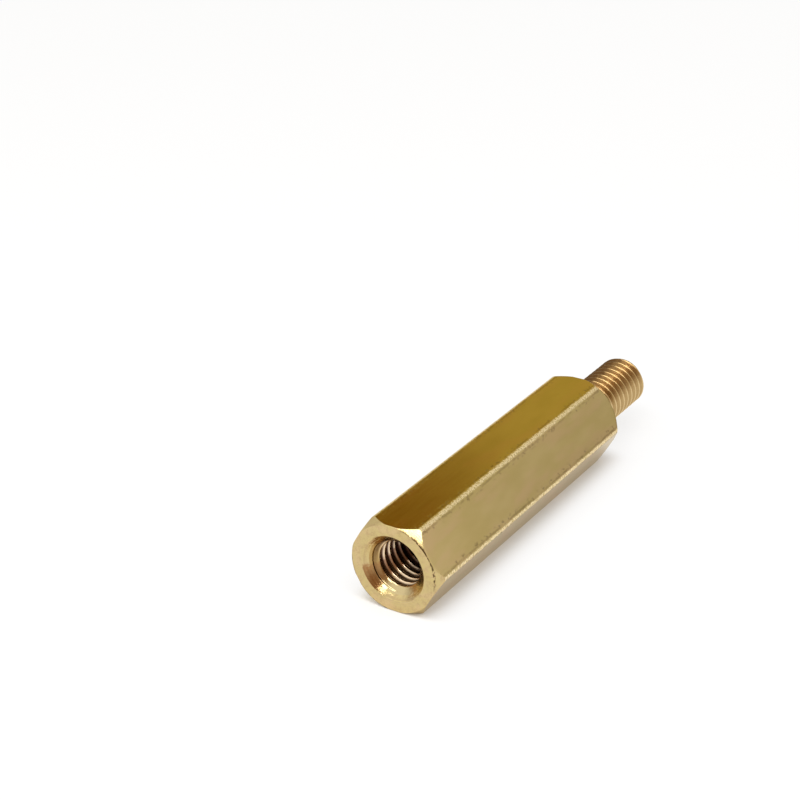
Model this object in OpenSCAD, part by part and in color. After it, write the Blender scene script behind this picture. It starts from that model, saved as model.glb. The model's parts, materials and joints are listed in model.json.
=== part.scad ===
// Male-female hex standoff: one piece turned from drawn hexagon bar. It has a
// tapped hole in one end and a threaded stud on the other.
//
// The axis of the part runs along Y and one flat faces straight down. The
// origin is on the axis in the plane of the shoulder, the face that the stud
// stands on: the hexagon body runs from there to -Y and the stud to +Y.

/* [Hexagon body] */

// Width of the hexagon across its flats
across_flats = 5; // [4.5:0.1:8]

// Length of the hexagon body, between its two end faces
body_length = 20; // [14:0.5:60]

// Radius of the bar's long edges
edge_radius = 0.3; // [0.1:0.05:0.5]

/* [Turned ends] */

// Depth that the chamfer of the female end reaches down the corners
mouth_chamfer_depth = 0.6; // [0.2:0.05:0.7]

// Slope of the female end's chamfer, in degrees from the axis
mouth_chamfer_slope = 33; // [20:1:45]

// Depth that the chamfer of the shoulder reaches down the corners
shoulder_chamfer_depth = 0.6; // [0.3:0.05:0.8]

// Slope of the shoulder's chamfer, in degrees from the axis
shoulder_chamfer_slope = 33; // [20:1:45]

/* [Tapped hole] */

// Diameter of the drilled hole, which is left as the thread's inner diameter
hole_diameter = 2.5; // [1.6:0.1:2.8]

// Depth of the drilled hole, from the end face to where its point begins
hole_depth = 11; // [6:0.5:12]

// Full angle of the point that the drill leaves
drill_point_angle = 118; // [90:1:140]

// Depth of the countersink at the hole's mouth
countersink_depth = 0.65; // [0.3:0.05:0.8]

// Full angle of the countersink
countersink_angle = 90; // [60:1:90]

/* [Stud] */

// Outer diameter of the stud's thread
stud_diameter = 3; // [2:0.1:3.5]

// Length of the stud, from the shoulder to its tip
stud_length = 6; // [3:0.5:20]

// Length of the chamfer at the stud's tip
tip_chamfer_length = 0.35; // [0.2:0.05:0.6]

// Slope of the tip's chamfer, in degrees from the axis
tip_chamfer_slope = 50; // [30:1:55]

/* [Hidden] */

// Segments of a full circle, enough for round faces
$fn = 96;

// How far a cutter runs past the face that it opens
overshoot = 1;

half_flats = across_flats / 2;
sharp_corner = half_flats / cos(30);

// A long edge's round is centred on the corner of a smaller hexagon, and turns
// through 60 degrees in this many steps
edge_centre = (half_flats - edge_radius) / cos(30);
edge_steps = 6;

// Radii of the two end faces, where their chamfers begin
mouth_face_radius = sharp_corner - mouth_chamfer_depth * tan(mouth_chamfer_slope);
shoulder_face_radius = sharp_corner - shoulder_chamfer_depth * tan(shoulder_chamfer_slope);

hole_radius = hole_diameter / 2;
drill_point_depth = hole_radius / tan(drill_point_angle / 2);
countersink_radius = hole_radius + countersink_depth * tan(countersink_angle / 2);

stud_radius = stud_diameter / 2;
tip_radius = stud_radius - tip_chamfer_length * tan(tip_chamfer_slope);

// Turns a profile, drawn as [radius, distance along the axis], about the Y axis
module turn(profile) {
    rotate([-90, 0, 0])
        rotate_extrude()
            polygon(profile);
}

// Section of the drawn bar: a hexagon with two level flats and rounded corners
module bar_section() {
    polygon([
        for (corner = [0:5], step = [0:edge_steps])
            let (
                corner_angle = 60 * corner,
                round_angle = corner_angle + 60 * (step / edge_steps - 0.5)
            )
            [
                edge_centre * cos(corner_angle) + edge_radius * cos(round_angle),
                edge_centre * sin(corner_angle) + edge_radius * sin(round_angle)
            ]
    ]);
}

// Length of bar, from the shoulder back to the female end
module bar() {
    rotate([90, 0, 0])
        linear_extrude(body_length)
            bar_section();
}

// Form that the lathe leaves: it takes the bar's corners off at both ends
module turned_envelope() {
    clear_radius = sharp_corner + overshoot;
    turn([
        [0, -body_length],
        [mouth_face_radius, -body_length],
        [clear_radius, -body_length + (clear_radius - mouth_face_radius) / tan(mouth_chamfer_slope)],
        [clear_radius, -(clear_radius - shoulder_face_radius) / tan(shoulder_chamfer_slope)],
        [shoulder_face_radius, 0],
        [0, 0]
    ]);
}

// Countersink, drilled hole and drill point, as one cutter on the axis
module hole() {
    turn([
        [0, -body_length - overshoot],
        [countersink_radius + overshoot * tan(countersink_angle / 2), -body_length - overshoot],
        [hole_radius, -body_length + countersink_depth],
        [hole_radius, -body_length + hole_depth],
        [0, -body_length + hole_depth + drill_point_depth]
    ]);
}

// Stud at its thread's outer diameter, with the chamfer that starts the thread
module stud() {
    turn([
        [0, 0],
        [stud_radius, 0],
        [stud_radius, stud_length - tip_chamfer_length],
        [tip_radius, stud_length],
        [0, stud_length]
    ]);
}

module standoff() {
    color("#c8ad6a") {
        difference() {
            intersection() {
                bar();
                turned_envelope();
            }
            hole();
        }
        stud();
    }
}

standoff();
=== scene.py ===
# %% [markdown]
# # A brass hex standoff
#
# A standoff holds a circuit board away from a panel. This one is turned from drawn hexagon bar in one
# piece: a tapped hole goes into one end and a threaded stud stands on the other. The lesson models the
# whole part as a single closed mesh with real helical threads, and finishes each of its surfaces the way
# the machine that made it left it: drawn, turned, thread-cut or parted off.
#
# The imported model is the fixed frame. It lies on one flat, with its axis along Y, the stud towards +Y
# and the origin on the axis in the plane of the shoulder. Everything here is worked out from its box and
# from the sizes of its mounts.

# %% Load the frame
import json
import math
import random

import bmesh
import bpy
from mathutils import Matrix, Vector, noise

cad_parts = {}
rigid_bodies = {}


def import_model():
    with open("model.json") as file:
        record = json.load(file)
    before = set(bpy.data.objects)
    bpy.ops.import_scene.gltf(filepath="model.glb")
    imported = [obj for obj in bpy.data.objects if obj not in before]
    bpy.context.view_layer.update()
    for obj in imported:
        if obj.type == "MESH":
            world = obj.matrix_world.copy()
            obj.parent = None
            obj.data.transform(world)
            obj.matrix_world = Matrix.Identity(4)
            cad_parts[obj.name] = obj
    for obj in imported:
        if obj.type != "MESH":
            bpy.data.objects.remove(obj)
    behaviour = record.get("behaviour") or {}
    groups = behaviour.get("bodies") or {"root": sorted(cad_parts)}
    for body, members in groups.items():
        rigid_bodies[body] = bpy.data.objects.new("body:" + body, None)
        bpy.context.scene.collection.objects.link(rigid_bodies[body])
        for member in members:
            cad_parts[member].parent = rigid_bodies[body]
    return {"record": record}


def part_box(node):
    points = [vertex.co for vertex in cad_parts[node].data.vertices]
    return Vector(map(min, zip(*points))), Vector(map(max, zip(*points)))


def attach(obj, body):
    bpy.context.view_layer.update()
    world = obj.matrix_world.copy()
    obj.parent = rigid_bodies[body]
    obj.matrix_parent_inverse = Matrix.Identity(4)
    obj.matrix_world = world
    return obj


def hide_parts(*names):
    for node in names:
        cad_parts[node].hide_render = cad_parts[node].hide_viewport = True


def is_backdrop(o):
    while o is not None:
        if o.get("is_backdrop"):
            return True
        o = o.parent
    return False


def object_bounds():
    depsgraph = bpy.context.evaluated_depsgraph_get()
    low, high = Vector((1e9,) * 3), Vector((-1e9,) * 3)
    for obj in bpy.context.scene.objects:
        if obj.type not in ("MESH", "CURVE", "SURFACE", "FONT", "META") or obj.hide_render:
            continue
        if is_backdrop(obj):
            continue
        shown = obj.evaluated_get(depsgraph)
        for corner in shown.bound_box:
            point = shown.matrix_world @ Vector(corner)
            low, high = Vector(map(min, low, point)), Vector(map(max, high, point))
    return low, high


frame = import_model()
cad_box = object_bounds()
print("solid model from", tuple(cad_box[0]), "to", tuple(cad_box[1]))

# %% [markdown]
# ## Sizes
#
# A machinist reads a drawing in millimetres, so the script does too, and turns into metres only where
# something is handed to Blender. The hexagon's width and the two lengths are the box of the solid. The
# radii of stud and hole are those of the mounts. What a drawing leaves to the tools, such as the depth of
# a thread or how sharp an edge is left, is named here.

# %% Read the driving sizes
MM = 0.001
low_corner, high_corner = (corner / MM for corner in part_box("standoff"))
mounts = {mount["name"]: mount for mount in frame["record"]["mounts"]}

across_flats = high_corner.z - low_corner.z
body_length = -low_corner.y
stud_length = high_corner.y
stud_radius = mounts["stud"]["dims"]["r_mm"]
hole_radius = mounts["tapped_hole"]["dims"]["r_mm"]
countersink_depth = mounts["tapped_hole"]["pos_m"][1] / MM + body_length
hole_depth = countersink_depth + mounts["tapped_hole"]["dims"]["length_mm"]

half_flats = across_flats / 2
side_turn = math.radians(60)  # from one flat to the next
half_side = side_turn / 2  # from the middle of a flat to a corner
sharp_corner = half_flats / math.cos(half_side)
print(f"{across_flats:.2f} mm across flats, body {body_length:.2f}, stud {stud_length:.2f}")
print(f"stud radius {stud_radius:.2f}, hole radius {hole_radius:.2f}, hole depth {hole_depth:.2f}")

# %% Name what the tools leave
edge_radius = 0.3  # round of the drawn bar's long edges
broken_edge = 0.03  # round that a tool leaves on a turned edge
root_round = 0.08  # round between the stud and the shoulder

# Every slope is an angle from the axis.
chamfer_depth = 0.6  # at both ends, down the bar's sharp corners
chamfer_slope = math.radians(33)
tip_chamfer_length = 0.35
tip_slope = math.radians(50)
countersink_slope = math.radians(45)
drill_point_slope = math.radians(59)

pitch = 0.5  # of both threads
thread_height = 0.27
tapped_depth = 9.0
run_out = 0.6  # length over which a thread fades into the plain surface

face_radius = sharp_corner - chamfer_depth * math.tan(chamfer_slope)
tip_radius = stud_radius - tip_chamfer_length * math.tan(tip_slope)
countersink_radius = hole_radius + countersink_depth * math.tan(countersink_slope)
print(f"end faces of radius {face_radius:.2f} mm, mouth of radius {countersink_radius:.2f} mm")

# %% [markdown]
# ## Camera
#
# The view looks down on the tapped end from the right, through a moderately long lens. A Track To
# constraint would aim the camera and leave no say over its roll, so its place and its axes are worked out
# here. They follow from the direction from the part to the camera, as an azimuth round the Z axis and an
# elevation, from a small roll, and from how far the mouth of the hole sits from the middle of the view.

# %% Set up the camera
view_azimuth = math.radians(33.68)
view_elevation = math.radians(26.21)
view_roll = math.radians(-1.75)
view_distance = 97.27
mouth_right, mouth_up = -0.384, -8.633
lens = 85.95

back = Vector((
    math.sin(view_azimuth) * math.cos(view_elevation),
    -math.cos(view_azimuth) * math.cos(view_elevation),
    math.sin(view_elevation),
))
level_right = Vector((math.cos(view_azimuth), math.sin(view_azimuth), 0))
level_up = back.cross(level_right)
right = math.cos(view_roll) * level_right + math.sin(view_roll) * level_up
up = math.cos(view_roll) * level_up - math.sin(view_roll) * level_right

mouth_centre = Vector((0, -body_length, 0))
eye = mouth_centre - mouth_right * right - mouth_up * up + view_distance * back

camera_data = bpy.data.cameras.new("camera")
camera_data.lens = lens
camera_data.clip_start = 1 * MM
camera = bpy.data.objects.new("camera", camera_data)
bpy.context.scene.collection.objects.link(camera)
camera.matrix_world = Matrix.Translation(eye * MM) @ Matrix((right, up, back)).transposed().to_4x4()
bpy.context.scene.camera = camera
bpy.context.scene.view_settings.view_transform = "Standard"
print("camera at", tuple(round(value, 1) for value in eye), "mm")

# %% [markdown]
# ## A mesh made of rings
#
# A lathe part could be a profile with a Screw modifier, and its threads could be cut by booleans. But
# booleans leave slivers and gaps where a thread fades out, so here the part is one mesh of rings round its
# axis, each with one point for every direction in a shared list of angles. Neighbouring rings are joined
# by four-sided faces. Where points of a ring fall on points of the ring before, as they do where a thread
# begins, a face loses a corner or drops out, and the mesh stays closed. Each face notes the finish that
# it was made with.

# %% Hold the mesh as it grows
points = []
faces = []
face_finishes = []


def add_point(radius, angle, along):
    """Adds a point at a distance from the axis and a place along it, and gives its number."""
    points.append((radius * math.cos(angle), along, radius * math.sin(angle)))
    return len(points) - 1


def level_ring(radius, along):
    """Adds a round ring with a point at each of the angles."""
    return [add_point(radius, angle, along) for angle in angles]


def add_face(corners, finish):
    """Adds a face, without corners that repeat the one before and not at all if only two are left."""
    kept = [corner for n, corner in enumerate(corners) if corner != corners[n - 1]]
    if len(set(kept)) > 2:
        faces.append(kept)
        face_finishes.append(finish)


def join_rings(first, second, finish):
    """Joins two rings, point to point, by four-sided faces."""
    for n in range(len(first)):
        add_face((first[n - 1], first[n], second[n], second[n - 1]), finish)


def close_ring(ring, along, finish):
    """Closes a ring by faces that meet in a point on the axis."""
    centre = add_point(0, 0, along)
    for n in range(len(ring)):
        add_face((ring[n - 1], ring[n], centre), finish)


# %% [markdown]
# ## The drawn bar
#
# Bar of this kind is pulled through a hexagonal die, which leaves flat sides and slightly rounded long
# edges. A six-sided cylinder with a Bevel modifier would look the same, but its points wouldn't meet those
# of a thread. So the section is a radius for each direction. The angles are dense where a corner turns and
# wide apart across a flat, and they are the same for the whole part, threads included.

# %% Choose the angles and the bar's section
edge_centre = (half_flats - edge_radius) / math.cos(half_side)
edge_half_angle = math.atan2(edge_radius / 2, edge_centre + edge_radius * math.cos(half_side))
corner_radius = edge_centre + edge_radius
corner_steps = 6
flat_steps = 22


def bar_radius(angle):
    """Distance from the axis to the surface of the bar, in this direction."""
    from_corner = abs((angle + half_side) % side_turn - half_side)
    if from_corner < edge_half_angle:
        sideways = edge_centre * math.sin(from_corner)
        return edge_centre * math.cos(from_corner) + math.sqrt(edge_radius**2 - sideways**2)
    return half_flats / math.cos(half_side - from_corner)


def sextant_angles():
    """The angles of one rounded corner and of the flat after it."""
    corner = [edge_half_angle * (2 * n / corner_steps - 1) for n in range(corner_steps)]
    flat_turn = side_turn - 2 * edge_half_angle
    return corner + [edge_half_angle + flat_turn * n / flat_steps for n in range(flat_steps)]


angles = [side_turn * side + angle for side in range(6) for angle in sextant_angles()]
print(len(angles), "directions, corner radius", round(corner_radius, 3))

# %% [markdown]
# ## Turned ends
#
# A lathe cuts the ends of the bar square, with a chamfer round each and a countersink at the mouth of the
# hole. Cones could be cut out of a finished bar, but there is no need. In each direction the body's outline
# is a line with a few corners: face, chamfer, flat, chamfer, face and countersink. A chamfer is a cone, so
# it runs deeper where the bar is wider, and that alone draws the curved scallops on the flats. No tool
# leaves a perfect edge, so each corner of the line is rounded a little, and by less where its sides are
# short.

# %% Round the corners of an outline
round_steps = 3
longest_share = 0.45  # most of a side's length that the round at one end of it may take


def rounded(before, corner, after, radius):
    """Points of a fillet at corner, as (radius, along) vectors."""
    to_before, to_after = before - corner, after - corner
    half_angle = to_before.angle(to_after) / 2
    longest = longest_share * min(to_before.length, to_after.length)
    reach = min(radius / math.tan(half_angle), longest)
    start, end = corner + reach * to_before.normalized(), corner + reach * to_after.normalized()
    middle = (to_before.normalized() + to_after.normalized()).normalized()
    centre = corner + middle * reach / math.cos(half_angle)
    spokes = [(start - centre).lerp(end - centre, n / round_steps) for n in range(round_steps + 1)]
    size = (start - centre).length
    return [centre + spoke.normalized() * size for spoke in spokes]


def chamfer(bar):
    """Radius of the end face and depth of the chamfer, where the bar has this radius."""
    rim = min(face_radius, bar - broken_edge)
    return rim, (bar - rim) / math.tan(chamfer_slope)


# %% [markdown]
# ## Nicks
#
# Small parts are tumbled together in a bin, and brass is soft, so the long edges carry small dents. Bump
# could shade them, but a dent in an edge also breaks its line, so they are in the mesh. They are shallow
# bowls, placed by a seeded draw on the edges or just beside them, and they push the surface towards the
# axis.

# %% Place the nicks
nick_count = 46
nick_scatter = 0.02  # radians that a nick strays from its edge, as a standard deviation
nick_end_gap = 0.5
nick_widths = (0.06, 0.16)
nick_depths = (0.006, 0.022)

draw = random.Random(7)
nicks = []
for _ in range(nick_count):
    nick_corner = draw.randrange(6) * side_turn
    nick_angle = nick_corner + draw.gauss(0, nick_scatter)
    nick_along = -draw.uniform(nick_end_gap, body_length - nick_end_gap)
    nicks.append((nick_angle, nick_along, draw.uniform(*nick_widths), draw.uniform(*nick_depths)))


def nick_depth(angle, along):
    """How far the nicks push the surface in at this place."""
    depth = 0
    for nick_angle, nick_along, width, deepest in nicks:
        turn_away = (angle - nick_angle + math.pi) % (2 * math.pi) - math.pi
        distance = math.hypot(turn_away * sharp_corner, along - nick_along) / width
        if distance < 2:
            depth += deepest * math.exp(-2 * distance**2)
    return depth


print(len(nicks), "nicks, the deepest", round(max(nick[3] for nick in nicks), 3), "mm")

# %% Draw the outline in each direction
flat_rows = 130
winding_start = 1.62  # radius at which the countersink meets the first ring of the hole's thread


def body_outline(angle):
    """The outline from the stud's root to inside the countersink, and the finish after each point."""
    bar = bar_radius(angle)
    rim, depth = chamfer(bar)
    winding_depth = (countersink_radius - winding_start) / math.tan(countersink_slope)
    corners = [Vector(corner) for corner in (
        (stud_radius + root_round, 0),
        (rim, 0),
        (bar, -depth),
        (bar, depth - body_length),
        (rim, -body_length),
        (countersink_radius, -body_length),
        (winding_start, winding_depth - body_length),
    )]
    rounds = [rounded(*corners[n:n + 3], broken_edge) for n in range(len(corners) - 2)]
    shoulder_rim, upper_edge, lower_edge, end_rim, mouth_rim = rounds
    upper_end = upper_edge.pop()
    drawn = []
    for row in range(flat_rows):
        point = upper_end.lerp(lower_edge[0], row / flat_rows)
        point.x -= nick_depth(angle, point.y)
        drawn.append((point, "drawn"))
    above = [(point, "turned") for point in (corners[0], *shoulder_rim, *upper_edge)]
    below = [(point, "turned") for point in (*lower_edge, *end_rim, *mouth_rim, corners[-1])]
    return above + drawn + below


outlines = [body_outline(angle) for angle in angles]
body_rings = [
    [add_point(outline[row][0].x, angle, outline[row][0].y) for outline, angle in zip(outlines, angles)]
    for row in range(len(outlines[0]))
]
for row in range(len(body_rings) - 1):
    join_rings(body_rings[row], body_rings[row + 1], outlines[0][row][1])
root_ring, countersink_ring = body_rings[0], body_rings[-1]
print("body:", len(body_rings), "rings,", len(faces), "faces")

# %% [markdown]
# ## The two threads
#
# A thread is a ramp wound round the axis. Bump would leave the outline of the stud straight, so the threads
# are real. Rings that ran straight across a thread would step over its crests, so these rings climb with
# it: each point lies a little further back than its neighbour, by one pitch for a full turn, and a ring's
# last point meets the ring that is one pitch behind. Where a climbing ring passes an end of the thread it
# is held at the level ring there. Both threads are right-hand.
#
# The form of one pitch is a short table: how far along the pitch, and how deep. The standard form has
# straight flanks at 30 degrees. An outer thread has narrow crests and wide roots, an inner thread wide
# crests and narrow roots, so that the one seats in the other. The cutter also tears the metal a little,
# so a small noise roughens both threads.

# %% Describe a thread's surface
tear_depth = 0.012
tear_scale = Vector((2.5, 4.0, 2.5))  # how fine the tears are, round the axis and along it
fillet = 0.02  # how gently two crossing surfaces meet


def thread_form(crest, root):
    """Places along one pitch with the depth of each, for these shares of flat crest and root.

    Both are shares of the whole. The corners between a flank and its crest or root are a little round.
    """
    crest_end = crest / 2
    root_start = 0.5 - root / 2
    rising = [
        (crest_end * 0.5, 0.0),
        (crest_end, 0.035),
        (crest_end + 0.05, 0.16),
        ((crest_end + root_start) / 2, 0.5),
        (root_start - 0.04, 0.87),
        (root_start + 0.02, 1.0),
    ]
    return rising + [(1 - share, depth) for share, depth in reversed(rising)]


def fade(distance):
    """From 0 to 1 as a distance goes from 0 to the run-out."""
    share = min(max(distance / run_out, 0), 1)
    return share * share * (3 - 2 * share)


def soft_min(a, b):
    """The smaller of two radii, with a small round where one takes over from the other."""
    reach = max(fillet - abs(a - b), 0) / fillet
    return min(a, b) - reach * reach * fillet / 4


def tear(angle, along):
    """How far the cutter tore the surface at this place, in millimetres."""
    place = Vector((math.cos(angle), along, math.sin(angle))) * tear_scale
    return tear_depth * abs(noise.noise(place))


# %% Wind a thread between two level rings
snap = 0.004  # a point this close to an end of the thread is the point of the level ring there


def wind(start, end, form, surface, phase, finish):
    """Joins two level rings, start behind end, by rings that climb with the thread."""
    first, last = points[start[0]][1], points[end[0]][1]
    rows_per_turn = len(form)
    rows = rows_per_turn * (math.ceil((last - first) / pitch) + 2)
    wound = []
    for row in range(rows + 1):
        turn, part = divmod(row, rows_per_turn)
        share, depth = form[part]
        ring = []
        for n, angle in enumerate(angles):
            travel = pitch * (turn + share - phase - angle / (2 * math.pi))
            if travel < snap:
                ring.append(start[n])
            elif travel > last - first - snap:
                ring.append(end[n])
            else:
                ring.append(add_point(surface(angle, first + travel, depth), angle, first + travel))
        wound.append(ring)

    def one_pitch_behind(row):
        """The first point of the ring that a ring's last point meets."""
        return wound[row - rows_per_turn][0] if row >= rows_per_turn else start[0]

    for row in range(rows):
        here, ahead = wound[row], wound[row + 1]
        for n in range(1, len(angles)):
            add_face((here[n - 1], here[n], ahead[n], ahead[n - 1]), finish)
        add_face((here[-1], one_pitch_behind(row), one_pitch_behind(row + 1), ahead[-1]), finish)


# %% Wind the stud's thread
stud_form = thread_form(crest=0.125, root=0.25)
stud_phase = 0.1
plain_collar = 0.3


def stud_surface(angle, along, depth):
    """Radius of the stud at this place, where the thread's form has this depth."""
    cut = thread_height * depth * fade(along - plain_collar)
    thread = stud_radius - cut - tear(angle, along)
    chamfer_cone = tip_radius + (stud_length - along) * math.tan(tip_slope)
    return soft_min(thread, chamfer_cone)


collar_ring = level_ring(stud_radius, root_round)
tip_edge_along = stud_length - broken_edge
tip_edge_ring = level_ring(tip_radius + broken_edge * math.tan(tip_slope), tip_edge_along)
wind(collar_ring, tip_edge_ring, stud_form, stud_surface, stud_phase, "threaded")

previous = collar_ring
for step in range(1, round_steps):
    turn = math.pi / 2 * step / round_steps
    ring = level_ring(stud_radius + root_round * (1 - math.cos(turn)), root_round * (1 - math.sin(turn)))
    join_rings(previous, ring, "turned")
    previous = ring
join_rings(previous, root_ring, "turned")
print("with the stud:", len(faces), "faces")

# %% Wind the hole's thread and close its end
hole_form = thread_form(crest=0.25, root=0.125)
hole_phase = 0.55
drill_point_steps = 6


def hole_surface(angle, along, depth):
    """Radius of the hole at this place, where the thread's form has this depth."""
    inward = along + body_length
    cut = thread_height * depth * fade(tapped_depth - inward)
    thread = hole_radius + cut + tear(angle, along)
    countersink_cone = countersink_radius - inward * math.tan(countersink_slope)
    return -soft_min(-thread, -countersink_cone)


def drill_point_along(radius):
    """Place along the axis where the cone that the drill left has this radius."""
    return hole_depth - body_length + (hole_radius - radius) / math.tan(drill_point_slope)


tapped_ring = level_ring(hole_radius, tapped_depth - body_length)
wind(countersink_ring, tapped_ring, hole_form, hole_surface, hole_phase, "tapped")
previous = tapped_ring
for step in range(drill_point_steps):
    radius = hole_radius * (1 - step / drill_point_steps)
    ring = level_ring(radius, drill_point_along(radius))
    join_rings(previous, ring, "tapped")
    previous = ring
close_ring(previous, drill_point_along(0), "tapped")
print("with the hole:", len(faces), "faces")

# %% [markdown]
# ## The stud's tip
#
# The bar was parted off here, and the last of it tore instead of being cut, so the small end face is
# pitted. The pits are too deep for bump, so they are real dents in a fine polar mesh. They leave the edge
# whole and reach their full depth a few rows in from it.

# %% Pit the parted face
pit_rows = 26
edge_rows = 5  # rows over which the pits reach their depth
pit_depth = 0.05
torn_share = 0.35  # share of the depth that an even tear takes


def torn_away(x, z):
    """How deep the face is torn at a place on it, as a share of the depth of a pit."""
    place = Vector((x, z, 0.3)) * 4.2
    torn = noise.fractal(place, 0.6, 2.1, 3)
    ridge = 1 - abs(noise.noise(place * 0.8 + Vector((5, 2, 1)))) * 2.4
    left_standing = 0.5 * torn - 0.5 * max(ridge - 0.55, 0)
    return max(0.0, torn_share - left_standing)


previous = tip_edge_ring
for row in range(pit_rows):
    radius = tip_radius * (1 - row / pit_rows)
    deepest = pit_depth * min(row / edge_rows, 1)
    ring = []
    for angle in angles:
        torn = torn_away(radius * math.cos(angle), radius * math.sin(angle))
        ring.append(add_point(radius, angle, stud_length - deepest * torn))
    join_rings(previous, ring, "parted")
    previous = ring
close_ring(previous, stud_length - pit_depth * torn_share, "parted")
print("whole part:", len(points), "points,", len(faces), "faces")

# %% [markdown]
# ## The piece
#
# The points become one mesh, in metres. Flat shading would show each face, and smooth shading alone would
# make the flats look bulged beside their edges. So every face is shaded smooth and a Weighted Normal
# modifier lets the large faces decide how the light runs over their edges. The flats look flat and only
# the small rounds between them turn.

# %% Build the piece
finish_names = ["drawn", "turned", "threaded", "tapped", "parted"]
mesh = bpy.data.meshes.new("hex_standoff")
mesh.from_pydata([Vector(point) * MM for point in points], [], faces)
surface_mesh = bmesh.new()
surface_mesh.from_mesh(mesh)
bmesh.ops.recalc_face_normals(surface_mesh, faces=surface_mesh.faces)
open_edges = sum(1 for edge in surface_mesh.edges if len(edge.link_faces) != 2)
surface_mesh.to_mesh(mesh)
surface_mesh.free()
for polygon, finish in zip(mesh.polygons, face_finishes):
    polygon.material_index = finish_names.index(finish)
    polygon.use_smooth = True

standoff = bpy.data.objects.new("hex_standoff", mesh)
bpy.context.scene.collection.objects.link(standoff)
even_shading = standoff.modifiers.new("even_shading", "WEIGHTED_NORMAL")
even_shading.mode = "FACE_AREA"
print("open edges:", open_edges, " triangles:", sum(len(face) - 2 for face in faces))

# %% [markdown]
# ## Shader maths as Python
#
# A material is a net of nodes. Written out node by node it hides what it means, so one small class wraps
# an output socket and lets it be used in an expression: 1 - wear, or grooves * 0.4 + 0.2. Any other kind
# of node comes from its one method, node. The noises are worked out from a place on the object in
# millimetres, so a pattern has a real size and runs on without a seam from one face to the next.

# %% Wrap a socket
class Signal:
    """What comes out of one socket. Arithmetic on it adds Math nodes to the same material."""

    def __init__(self, socket):
        self.socket = socket

    def node(self, kind, settings=None, inputs=None, output=0):
        """Adds a node, sets it up, and gives its output, or the node itself where it has none."""
        tree = self.socket.id_data
        made = tree.nodes.new("ShaderNode" + kind)
        for name, value in (settings or {}).items():
            setattr(made, name, value)
        for name, value in (inputs or {}).items():
            socket = made.inputs[name]
            if isinstance(value, Signal):
                tree.links.new(value.socket, socket)
            elif socket.type == "RGBA":
                socket.default_value = (*value, 1)
            else:
                socket.default_value = value
        return Signal(made.outputs[output]) if made.outputs else made

    def math(self, operation, *others):
        """A Math node with this as its first number."""
        return self.node("Math", {"operation": operation}, dict(enumerate((self, *others))))

    def vector(self, operation, *others, output="Vector"):
        """A Vector Math node with this as its first vector."""
        return self.node("VectorMath", {"operation": operation}, dict(enumerate((self, *others))), output)

    def __add__(self, other):
        return self.math("ADD", other)

    def __mul__(self, other):
        return self.math("MULTIPLY", other)

    def __sub__(self, other):
        return self.math("SUBTRACT", other)

    def __rsub__(self, other):
        return self.math("MULTIPLY_ADD", -1.0, other)

    def __abs__(self):
        return self.math("ABSOLUTE")

    __radd__ = __add__
    __rmul__ = __mul__

    def axis(self, name):
        """One of the three numbers of this place."""
        return self.node("SeparateXYZ", inputs={"Vector": self}, output=name)

    def stretch(self, across, along):
        """This place, scaled by one factor across the axis and by another along it."""
        return self.vector("MULTIPLY", (across, along, across))

    def noise(self, scale, detail=2, roughness=0.5):
        """A cloudy pattern between 0 and 1, with about this many clouds a millimetre."""
        sockets = {"Vector": self, "Scale": scale, "Detail": detail, "Roughness": roughness}
        return self.node("TexNoise", inputs=sockets)

    def between(self, low, high):
        """0 below low, 1 above high and smooth between them."""
        sockets = {"Value": self, "From Min": low, "From Max": high}
        return self.node("MapRange", {"interpolation_type": "SMOOTHSTEP"}, sockets)

    def band(self, rise, fall):
        """1 in a band and 0 beside it. It rises over the first range and falls over the second."""
        return self.between(*rise) * (1 - self.between(*fall))

    def mix(self, start, end):
        """The colour between two as this goes from 0 to 1."""
        # The colours of a Mix node are its inputs 6 and 7 and its output 2.
        return self.node("Mix", {"data_type": "RGBA"}, {0: self, 6: start, 7: end}, output=2)


# %% Start and end a material
GRAZING_TINT = (0.97, 0.90, 0.76)  # brass keeps some of its colour even at a glancing angle


def coordinate(tree, output):
    """Empties a node tree and gives the texture coordinate that its nodes start from."""
    tree.nodes.clear()
    return Signal(tree.nodes.new("ShaderNodeTexCoord").outputs[output])


def start_material(name):
    """A new material, and the place on the object in millimetres as its first signal."""
    material = bpy.data.materials.new(name)
    material.use_nodes = True
    return material, coordinate(material.node_tree, "Object").stretch(1 / MM, 1 / MM)


def metal(material, place, colour, roughness, relief, height):
    """Ends a material as bare metal. Height is what 1 on the relief stands for, in millimetres."""
    bump = place.node("Bump", inputs={"Height": relief, "Distance": height * MM, "Strength": 1.0})
    shader = place.node("BsdfPrincipled", inputs={
        "Base Color": colour,
        "Metallic": 1.0,
        "Specular Tint": GRAZING_TINT,
        "Roughness": roughness,
        "Normal": bump,
    })
    place.node("OutputMaterial", inputs={"Surface": shader})
    return material


def use_finish(material):
    """Gives the mesh its next material. They come in the order of finish_names."""
    mesh.materials.append(material)
    print(material.name, "has", len(material.node_tree.nodes), "nodes")


# %% [markdown]
# ## Drawn brass
#
# The flats are as the drawing die left them: smooth and a little wavy, with faint straight streaks along
# the bar, so these noises are stretched along it. The metal has clouded and blushed a little, and one
# lower flat has a thin tarnish, whose colour turns from rose to green with its thickness. The tarnish is
# also painted dark, as painted shade: it stands for the shaded card that this flat mirrors.
#
# Wear follows the form. The node for that, Geometry's Pointiness, changes with how fine the mesh is, but
# here the distance from the axis tells where the long edges are. Their rounds have rubbed against other
# parts, so they are duller and mottled, and they are painted paler, partly for wear and partly as a painted
# highlight. Grime stays just inside them, as a faint broken line with
# small pits.

# %% Measure a place on the part
def from_axis(place):
    """Distance of a place from the axis."""
    return place.stretch(1, 0).vector("LENGTH", output="Value")


def toward(place, degrees):
    """How far a place lies to one side of the axis, at this angle from +X towards +Z."""
    angle = math.radians(degrees)
    return place.vector("DOT_PRODUCT", (math.cos(angle), 0, math.sin(angle)), output="Value")


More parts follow.
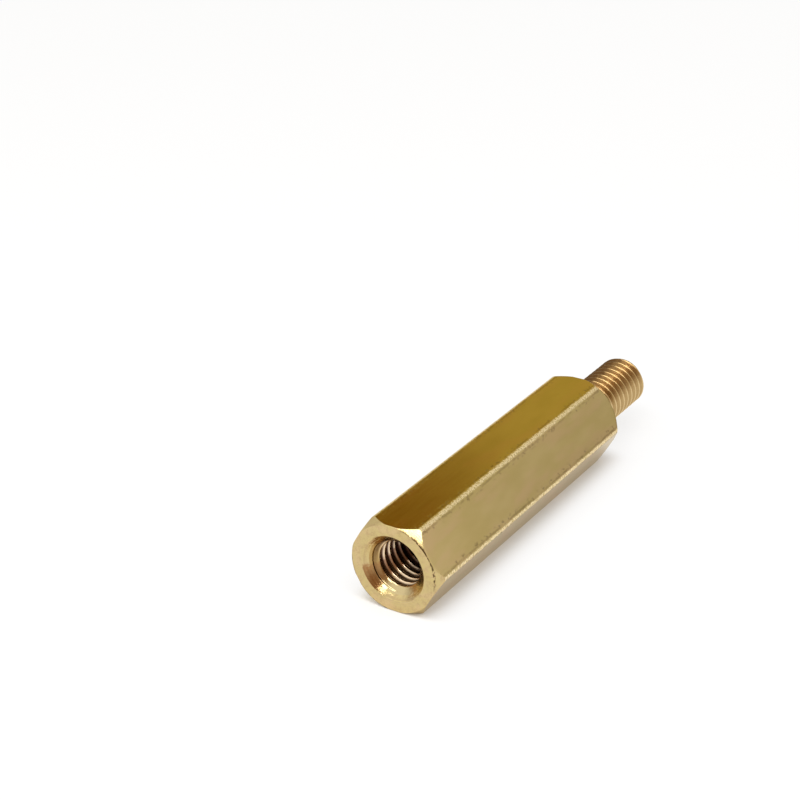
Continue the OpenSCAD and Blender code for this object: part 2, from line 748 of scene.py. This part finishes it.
# %% Make drawn brass
BRASS = (0.67, 0.525, 0.25)
DEEP_BRASS = (0.62, 0.485, 0.21)
BLUSHED_BRASS = (0.70, 0.50, 0.28)
ROSE_TARNISH_SHADE = (0.45, 0.31, 0.155)
GREEN_TARNISH_SHADE = (0.41, 0.335, 0.165)
RUBBED_HIGHLIGHT_BRASS = (0.90, 0.74, 0.45)
GRIME = (0.22, 0.14, 0.06)

drawn_relief = 0.012


def drawn_brass():
    material, place = start_material("drawn_brass")
    streaks = place.stretch(15, 0.45).noise(1.0, detail=4)
    waves = place.stretch(1.1, 0.3).noise(1.0, detail=1)
    clouds = place.stretch(0.9, 0.35).noise(1.0, detail=3)
    blush = place.stretch(0.8, 0.22).noise(1.3, detail=3)
    film = place.stretch(1.0, 0.45).noise(1.6, detail=4, roughness=0.65)
    mottle = place.noise(9, detail=4, roughness=0.7)
    flecks = place.noise(4, detail=3, roughness=0.65)
    colour = clouds.between(0.3, 0.7).mix(BRASS, DEEP_BRASS)
    colour = (blush.between(0.45, 0.65) * 0.6).mix(colour, BLUSHED_BRASS)
    tarnish_and_shade = film.between(0.36, 0.64).mix(ROSE_TARNISH_SHADE, GREEN_TARNISH_SHADE)
    lower_flat = toward(place, -30).between(half_flats - 0.06, half_flats - 0.01)
    # Tarnish and painted shade: one lower flat is painted darker and mottled.
    colour = (lower_flat * 0.9).mix(colour, tarnish_and_shade)

    past_corner = from_axis(place) - corner_radius + mottle * 0.07
    rubbed_and_highlit = past_corner.between(0.0, 0.03)
    grime = past_corner.band((-0.07, -0.04), (-0.02, 0.0)) * film.between(0.40, 0.56) * 0.7
    pits = past_corner.band((-0.14, -0.08), (-0.01, 0.02)) * flecks.between(0.56, 0.62)
    # Wear and painted highlight: the rounded long edges are painted paler.
    colour = (rubbed_and_highlit * mottle.between(0.38, 0.58)).mix(colour, RUBBED_HIGHLIGHT_BRASS)
    colour = (grime.math("MAXIMUM", pits) * 0.55).mix(colour, GRIME)

    roughness = 0.10 + streaks * 0.08 + rubbed_and_highlit * mottle * 0.30
    relief = streaks * 0.10 + waves * 0.6 + rubbed_and_highlit * mottle * 1.7 - pits * 0.2
    return metal(material, place, colour, roughness, relief, drawn_relief)


use_finish(drawn_brass())

# %% [markdown]
# ## Turned brass
#
# A lathe tool leaves fine rings round the axis on the end faces, the chamfers and the countersink. An
# anisotropic shader smears highlights as such rings do, but draws no rings, so they are bump. Their pattern
# depends only on the distance from the axis and on the place along it, so one recipe fits all of these
# surfaces, whatever their slope. Over it lie clouds, a blush and small stains. The countersink is brighter
# than the rest and has deeper scores. A brown stripe is painted down one lower side of it, a painted
# reflection of a dark part of the room.
#
# A ragged dark line is painted along two stretches of the rim of the end face, as painted shade at the
# edge.

# %% Make turned brass
TURNED_BRASS = (0.61, 0.475, 0.22)
STAINED_BRASS = (0.50, 0.36, 0.17)
DARK_STRIPE_BRASS = (0.34, 0.165, 0.06)
RIM_SHADE_LINE = (0.12, 0.07, 0.025)

turned_relief = 0.008


def ring_pattern(place, per_mm, detail=2):
    """Rings round the axis, with about this many a millimetre."""
    section = place.node("CombineXYZ", inputs={
        "X": from_axis(place) * per_mm,
        "Y": place.axis("Y") * per_mm,
    })
    return section.noise(1.0, detail)


def painted_dark_stripe(place):
    """1 in the stripe down one lower side of the hole, a painted reflection of a dark part of the room."""
    ragged_edge = place.noise(6) * 0.16 - 0.08
    return (toward(place, 212.7) - from_axis(place) * 0.90 + ragged_edge).between(0.0, 0.09)


def painted_rim_shade(place):
    """1 on the painted shade line, in two ragged stretches round the rim of the end face."""
    wobble = place.noise(6, detail=4, roughness=0.7) * 0.11 - 0.015
    past_rim = from_axis(place) - face_radius + wobble
    stretches = toward(place, 34.8).between(1.6, 2.1) + toward(place, 219.7).between(1.2, 1.8)
    unbroken = place.noise(5).between(0.38, 0.52)
    return past_rim.band((0.005, 0.02), (0.07, 0.10)) * stretches * unbroken


def turned_brass():
    material, place = start_material("turned_brass")
    coarse_rings = ring_pattern(place, 5, detail=1)
    rings = ring_pattern(place, 14)
    fine_rings = ring_pattern(place, 45)
    clouds = place.noise(0.7)
    blush = place.noise(1.6, detail=3)
    spots = place.noise(3.2, detail=4, roughness=0.7)
    countersunk = 1 - (from_axis(place) - countersink_radius).between(-0.02, 0.02)
    colour = clouds.between(0.35, 0.7).mix(TURNED_BRASS, DEEP_BRASS)
    colour = (blush.between(0.45, 0.65) * 0.5).mix(colour, BLUSHED_BRASS)
    colour = (spots.between(0.44, 0.66) * 0.7).mix(colour, STAINED_BRASS)

    scores = coarse_rings.between(0.52, 0.66) * countersunk
    colour = (scores * 0.6).mix(colour, STAINED_BRASS)
    # Painted reflection: a dark brown stripe down one lower side of the countersink.
    dark_striped = painted_dark_stripe(place) * countersunk * (0.45 + rings * 0.9)
    colour = dark_striped.mix(colour, DARK_STRIPE_BRASS)
    # Painted shade: a ragged dark line on two stretches of the rim.
    colour = (painted_rim_shade(place) * 0.95).mix(colour, RIM_SHADE_LINE)

    roughness = 0.12 + fine_rings * 0.08 + spots * 0.08 - countersunk * 0.06
    relief = rings * 0.7 + fine_rings * 0.3 + spots * (0.8 + countersunk * 1.6)
    relief = relief + coarse_rings * countersunk * 3
    return metal(material, place, colour, roughness, relief, turned_relief)


use_finish(turned_brass())

# %% [markdown]
# ## Cut threads
#
# A thread is cut to its depth in passes. Its grooves are darker and redder than its crests, which
# everything rubs on: partly a skin of oil and oxide, partly painted shade between the crests. A colour
# attribute on the mesh could say where the grooves are, but
# the form says it already. The depth of a point is how far it lies under the blank, the plain surface that
# was there before the thread, and that follows from its distance to the axis.
#
# The stud is painted lighter on one lower side, as painted light, and darker on the upper side across from
# it, as painted shade. In the hole only the lower wall is painted lighter, the painted dark stripe goes on
# from the countersink, and what lies deep is painted dark, as painted shade.

# %% Find the groove of a thread
thread_relief = 0.012


def cut_brass(place, under_blank, crest_end, groove_start):
    """How far a place is into the groove, from its depth under the blank, with roughness and relief."""
    drag = ring_pattern(place, 26, detail=3)
    tears = place.noise(5, detail=4, roughness=0.6)
    groove = under_blank.between(crest_end, groove_start)
    roughness = 0.12 + groove * 0.12 + tears * 0.08
    relief = drag * 0.35 + tears * 0.6
    return groove * (0.75 + tears * 0.5), roughness, relief


# %% Make threaded brass
STUD_CREST = (0.66, 0.46, 0.21)
STUD_GROOVE = (0.32, 0.18, 0.065)
LIT_STUD_CREST = (0.74, 0.55, 0.29)
LIT_STUD_GROOVE = (0.50, 0.34, 0.15)
STUD_SHADE = (0.09, 0.04, 0.013)


def threaded_brass():
    material, place = start_material("threaded_brass")
    along = place.axis("Y")
    tip_cone = tip_radius + (stud_length - along) * math.tan(tip_slope)
    under_blank = tip_cone.math("MINIMUM", stud_radius) - from_axis(place)
    groove_skin_and_shade, roughness, relief = cut_brass(place, under_blank, 0.0, 0.05)
    # Painted light: the stud's lower side is painted lighter.
    painted_lit_side = toward(place, -30).between(0.5, 1.2)
    crest = painted_lit_side.mix(STUD_CREST, LIT_STUD_CREST)
    groove = painted_lit_side.mix(STUD_GROOVE, LIT_STUD_GROOVE)
    # Oxide skin and painted shade: the grooves are darker than the crests.
    colour = groove_skin_and_shade.mix(crest, groove)
    # Painted shade: the stud's upper side is painted dark.
    shaded_side = toward(place, 137.2) + place.noise(4, detail=3) * 0.5 - 0.25
    colour = (shaded_side.between(0.72, 1.20) * 0.85).mix(colour, STUD_SHADE)

    chamfered = (along - (stud_length - tip_chamfer_length)).between(-0.05, 0.05)
    relief = relief + ring_pattern(place, 7, detail=1) * chamfered * 4
    return metal(material, place, colour, roughness, relief, thread_relief)


use_finish(threaded_brass())

# %% Make tapped brass
HOLE_CREST = (0.86, 0.67, 0.46)
HOLE_GROOVE = (0.06, 0.016, 0.012)
LIT_HOLE_GROOVE = (0.13, 0.075, 0.035)
DARK_STRIPE_CREST = (0.40, 0.22, 0.13)
MOUTH_BRASS = (0.46, 0.30, 0.11)
LIT_MOUTH = (0.58, 0.46, 0.24)
HOLE_DEPTH_SHADE = (0.03, 0.01, 0.008)


def tapped_brass():
    material, place = start_material("tapped_brass")
    inward = place.axis("Y") + body_length
    mouth_cone = countersink_radius - inward * math.tan(countersink_slope)
    under_blank = from_axis(place) - mouth_cone.math("MAXIMUM", hole_radius)
    groove_skin_and_shade, roughness, relief = cut_brass(place, under_blank, 0.04, 0.15)
    # Painted light: the hole's lower wall is painted lighter.
    painted_lit_side = 1 - place.axis("Z").between(-1.0, -0.2)
    # Painted reflection: the dark stripe dims the mouth and the crests on one lower side.
    dark_striped = painted_dark_stripe(place)
    mouth = painted_lit_side.mix(MOUTH_BRASS, LIT_MOUTH)
    mouth = (dark_striped * 0.8).mix(mouth, DARK_STRIPE_BRASS)
    crest = dark_striped.mix(HOLE_CREST, DARK_STRIPE_CREST)
    groove = painted_lit_side.mix(HOLE_GROOVE, LIT_HOLE_GROOVE)

    past_mouth = (inward + place.axis("X") * 0.05).between(0.58, 0.72)
    colour = past_mouth.mix(mouth, crest)
    # Oxide skin and painted shade: the grooves are darker than the crests.
    colour = (groove_skin_and_shade * inward.between(0.3, 0.85)).mix(colour, groove)
    # Painted shade: the hole is painted darker with depth.
    colour = (inward.between(1.4, 3.4) * 0.97).mix(colour, HOLE_DEPTH_SHADE)
    return metal(material, place, colour, roughness, relief, thread_relief)


use_finish(tapped_brass())

# %% [markdown]
# ## Parted brass
#
# The tip is torn rather than cut. Its big pits are in the mesh, and the material adds the small ones, the
# dull broken surface and the darker colour of what lies deep.

# %% Make parted brass
PALE_BRASS = (0.80, 0.68, 0.42)
PIT_BRASS = (0.40, 0.33, 0.18)

parted_relief = 0.03


def parted_brass():
    material, place = start_material("parted_brass")
    sunk = 1 - place.axis("Y").between(stud_length - 0.9 * pit_depth, stud_length)
    grain = place.noise(8, detail=4, roughness=0.6)
    colour = (sunk * 0.7 + grain * 0.3).mix(PALE_BRASS, PIT_BRASS)
    roughness = 0.34 + grain * 0.16
    return metal(material, place, colour, roughness, grain, parted_relief)


use_finish(parted_brass())

# %% [markdown]
# ## Floor
#
# The part lies on a sheet of plain white card, on one of its flats. In soft light a white card comes out
# a little grey. More light would mend that and burn out the brass as well, so the light stays as it is and
# the camera sees a share of pure white in the card, as does metal that mirrors it. The share is small
# where the part touches the card and grows away from it, so that the shadow under the part stays.

# %% Lay the floor
CARD = (0.90, 0.905, 0.93)

card_reach = 1.0  # metres from the origin to the edge of the card
white_share = 0.75  # of pure white in the card as it is seen, away from the part
contact_share = 0.1  # the same where the part touches it
contact_reach = 1.8  # millimetres over which one turns into the other

floor_mesh = bpy.data.meshes.new("floor")
floor_level = low_corner.z * MM
floor_mesh.from_pydata(
    [(x * card_reach, y * card_reach, floor_level) for x, y in ((-1, -1), (1, -1), (1, 1), (-1, 1))],
    [],
    [(0, 1, 2, 3)],
)
floor = bpy.data.objects.new("floor", floor_mesh)
bpy.context.scene.collection.objects.link(floor)
floor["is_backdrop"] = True
print("floor at", round(low_corner.z, 3), "mm")


# %% Make white card
def contact_distance(place):
    """Distance on the floor from the flat that the part lies on."""
    half_width = half_flats * math.tan(half_side)
    half_length = body_length / 2
    beside = (abs(place.axis("X")) - half_width).math("MAXIMUM", 0.0)
    beyond = (abs(place.axis("Y") + half_length) - half_length).math("MAXIMUM", 0.0)
    return (beside * beside + beyond * beyond).math("SQRT")


def white_card():
    material, place = start_material("white_card")
    card = place.node("BsdfPrincipled", inputs={"Base Color": CARD, "Roughness": 0.9})
    pure_white = place.node("Emission", inputs={"Color": (1, 1, 1), "Strength": 1.0})
    seen = place.node("LightPath", output="Is Camera Ray")
    mirrored = place.node("LightPath", output="Is Glossy Ray")
    refracted = place.node("LightPath", output="Is Transmission Ray")
    away = contact_distance(place).between(0.0, contact_reach)
    share = away * (white_share - contact_share) + contact_share
    whiteness = (seen + mirrored + refracted) * share
    mixed = place.node("MixShader", inputs={0: whiteness, 1: card, 2: pure_white})
    place.node("OutputMaterial", inputs={"Surface": mixed})
    return material


floor_mesh.materials.append(white_card())
print("share of pure white:", white_share, "away from the part,", contact_share, "at it")

# %% [markdown]
# ## Room
#
# Bare metal shows little but what it mirrors, and each flat is a plane mirror that shows one small piece
# of the room. So the room matters more than the lamps. It could be built of walls and boards, but nearly
# all of it is seen only in the metal, so a world with a colour for each direction is enough. It is a plain
# dome, near white overhead, with soft zones. From where the camera is set up, the wall on the right is
# dusky near the horizon and has a pale patch. Straight behind the part lies umber with a dark ember in it,
# low in front a brown shade, high on the right a pale rim and high on the left a bright window. The umber
# and the shade stay off the horizon, where they would show behind the part.

# %% Build the room
WALL = (0.80, 0.79, 0.76)
DUSK = (0.38, 0.35, 0.28)
HORIZON = (0.66, 0.63, 0.54)
PALE_WALL = (0.84, 0.80, 0.72)
OVERHEAD = (1.0, 1.0, 0.99)
UMBER = (0.52, 0.41, 0.10)
EMBER = (0.22, 0.10, 0.00)
SHADE = (0.52, 0.39, 0.26)
RIM = (0.82, 0.80, 0.74)
WINDOW = (1.15, 1.15, 1.13)

world = bpy.data.worlds.new("studio")
bpy.context.scene.world = world
world.use_nodes = True
heading = coordinate(world.node_tree, "Generated")


def around(direction, edge, core):
    """1 in the part of the room round a direction, fading out between two angles in degrees."""
    facing = heading.vector("DOT_PRODUCT", Vector(direction).normalized(), output="Value")
    return facing.between(math.cos(math.radians(edge)), math.cos(math.radians(core)))


height = heading.axis("Z")
aloft = height.between(0.10, 0.26)
room = height.between(0.04, 0.175).mix(DUSK, HORIZON)
room = around((0.64, 0.75, 0.15), 42, 24).mix(WALL, room)
room = around((0.80, 0.59, 0.08), 14, 7).mix(room, PALE_WALL)
room = height.between(0.25, 0.95).mix(room, OVERHEAD)
room = (around((-0.52, 0.75, 0.36), 38, 18) * aloft).mix(room, UMBER)
room = around((-0.50, 0.70, 0.52), 6, 3).mix(room, EMBER)
room = (around((0.49, -0.85, 0.21), 44, 28) * aloft).mix(room, SHADE)
room = around((0.17, 0.73, 0.66), 22, 9).mix(room, RIM)
room = around((-0.50, -0.56, 0.66), 34, 18).mix(room, WINDOW)
background = room.node("Background", inputs={"Color": room, "Strength": 1.0})
background.node("OutputWorld", inputs={"Surface": background})
print("room of", len(world.node_tree.nodes), "nodes")

# %% [markdown]
# ## Lamps
#
# Two softboxes add what the dome is too even for. A long strip overhead draws the bright lines along the
# edges, and a small lamp above and in front puts the sparkle into the mouth of the hole. The camera
# doesn't see either of them. A softbox is given by its radiance and not by its power, so it looks equally
# bright in the metal whatever its size.

# %% Hang the lamps
part_centre = Vector((0, -body_length / 2, 0)) * MM


def softbox(name, direction, distance, length, width, radiance):
    """A lamp that faces the part, its length across it, as bright as its radiance, where 1 is white."""
    lamp_data = bpy.data.lights.new(name, "AREA")
    lamp_data.shape = "RECTANGLE"
    lamp_data.size = length * MM
    lamp_data.size_y = width * MM
    lamp_data.energy = radiance * math.pi * length * width * MM**2
    facing = Vector(direction).normalized()
    across = (Vector((1, 0, 0)) - facing.x * facing).normalized()
    turn = Matrix((across, facing.cross(across), facing)).transposed().to_4x4()
    lamp = bpy.data.objects.new(name, lamp_data)
    lamp.matrix_world = Matrix.Translation(part_centre + facing * distance * MM) @ turn
    lamp.visible_camera = False
    bpy.context.scene.collection.objects.link(lamp)
    return lamp


lamps = [
    softbox("overhead_strip", (0.20, -0.33, 0.92), distance=150, length=175, width=50, radiance=4.2),
    softbox("front_lamp", (0.16, -0.70, 0.68), distance=150, length=34, width=26, radiance=8.0),
]
print("lamps:", [lamp.name for lamp in lamps])

# %% [markdown]
# ## Hand over
#
# The piece stands for the solid standoff and rides on the part's one body.

# %% Finish
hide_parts("standoff")
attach(standoff, "root")
made_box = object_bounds()
for name, box in (("solid", cad_box), ("made", made_box)):
    print(name, "box in mm:", [[round(value / MM, 3) for value in corner] for corner in box])
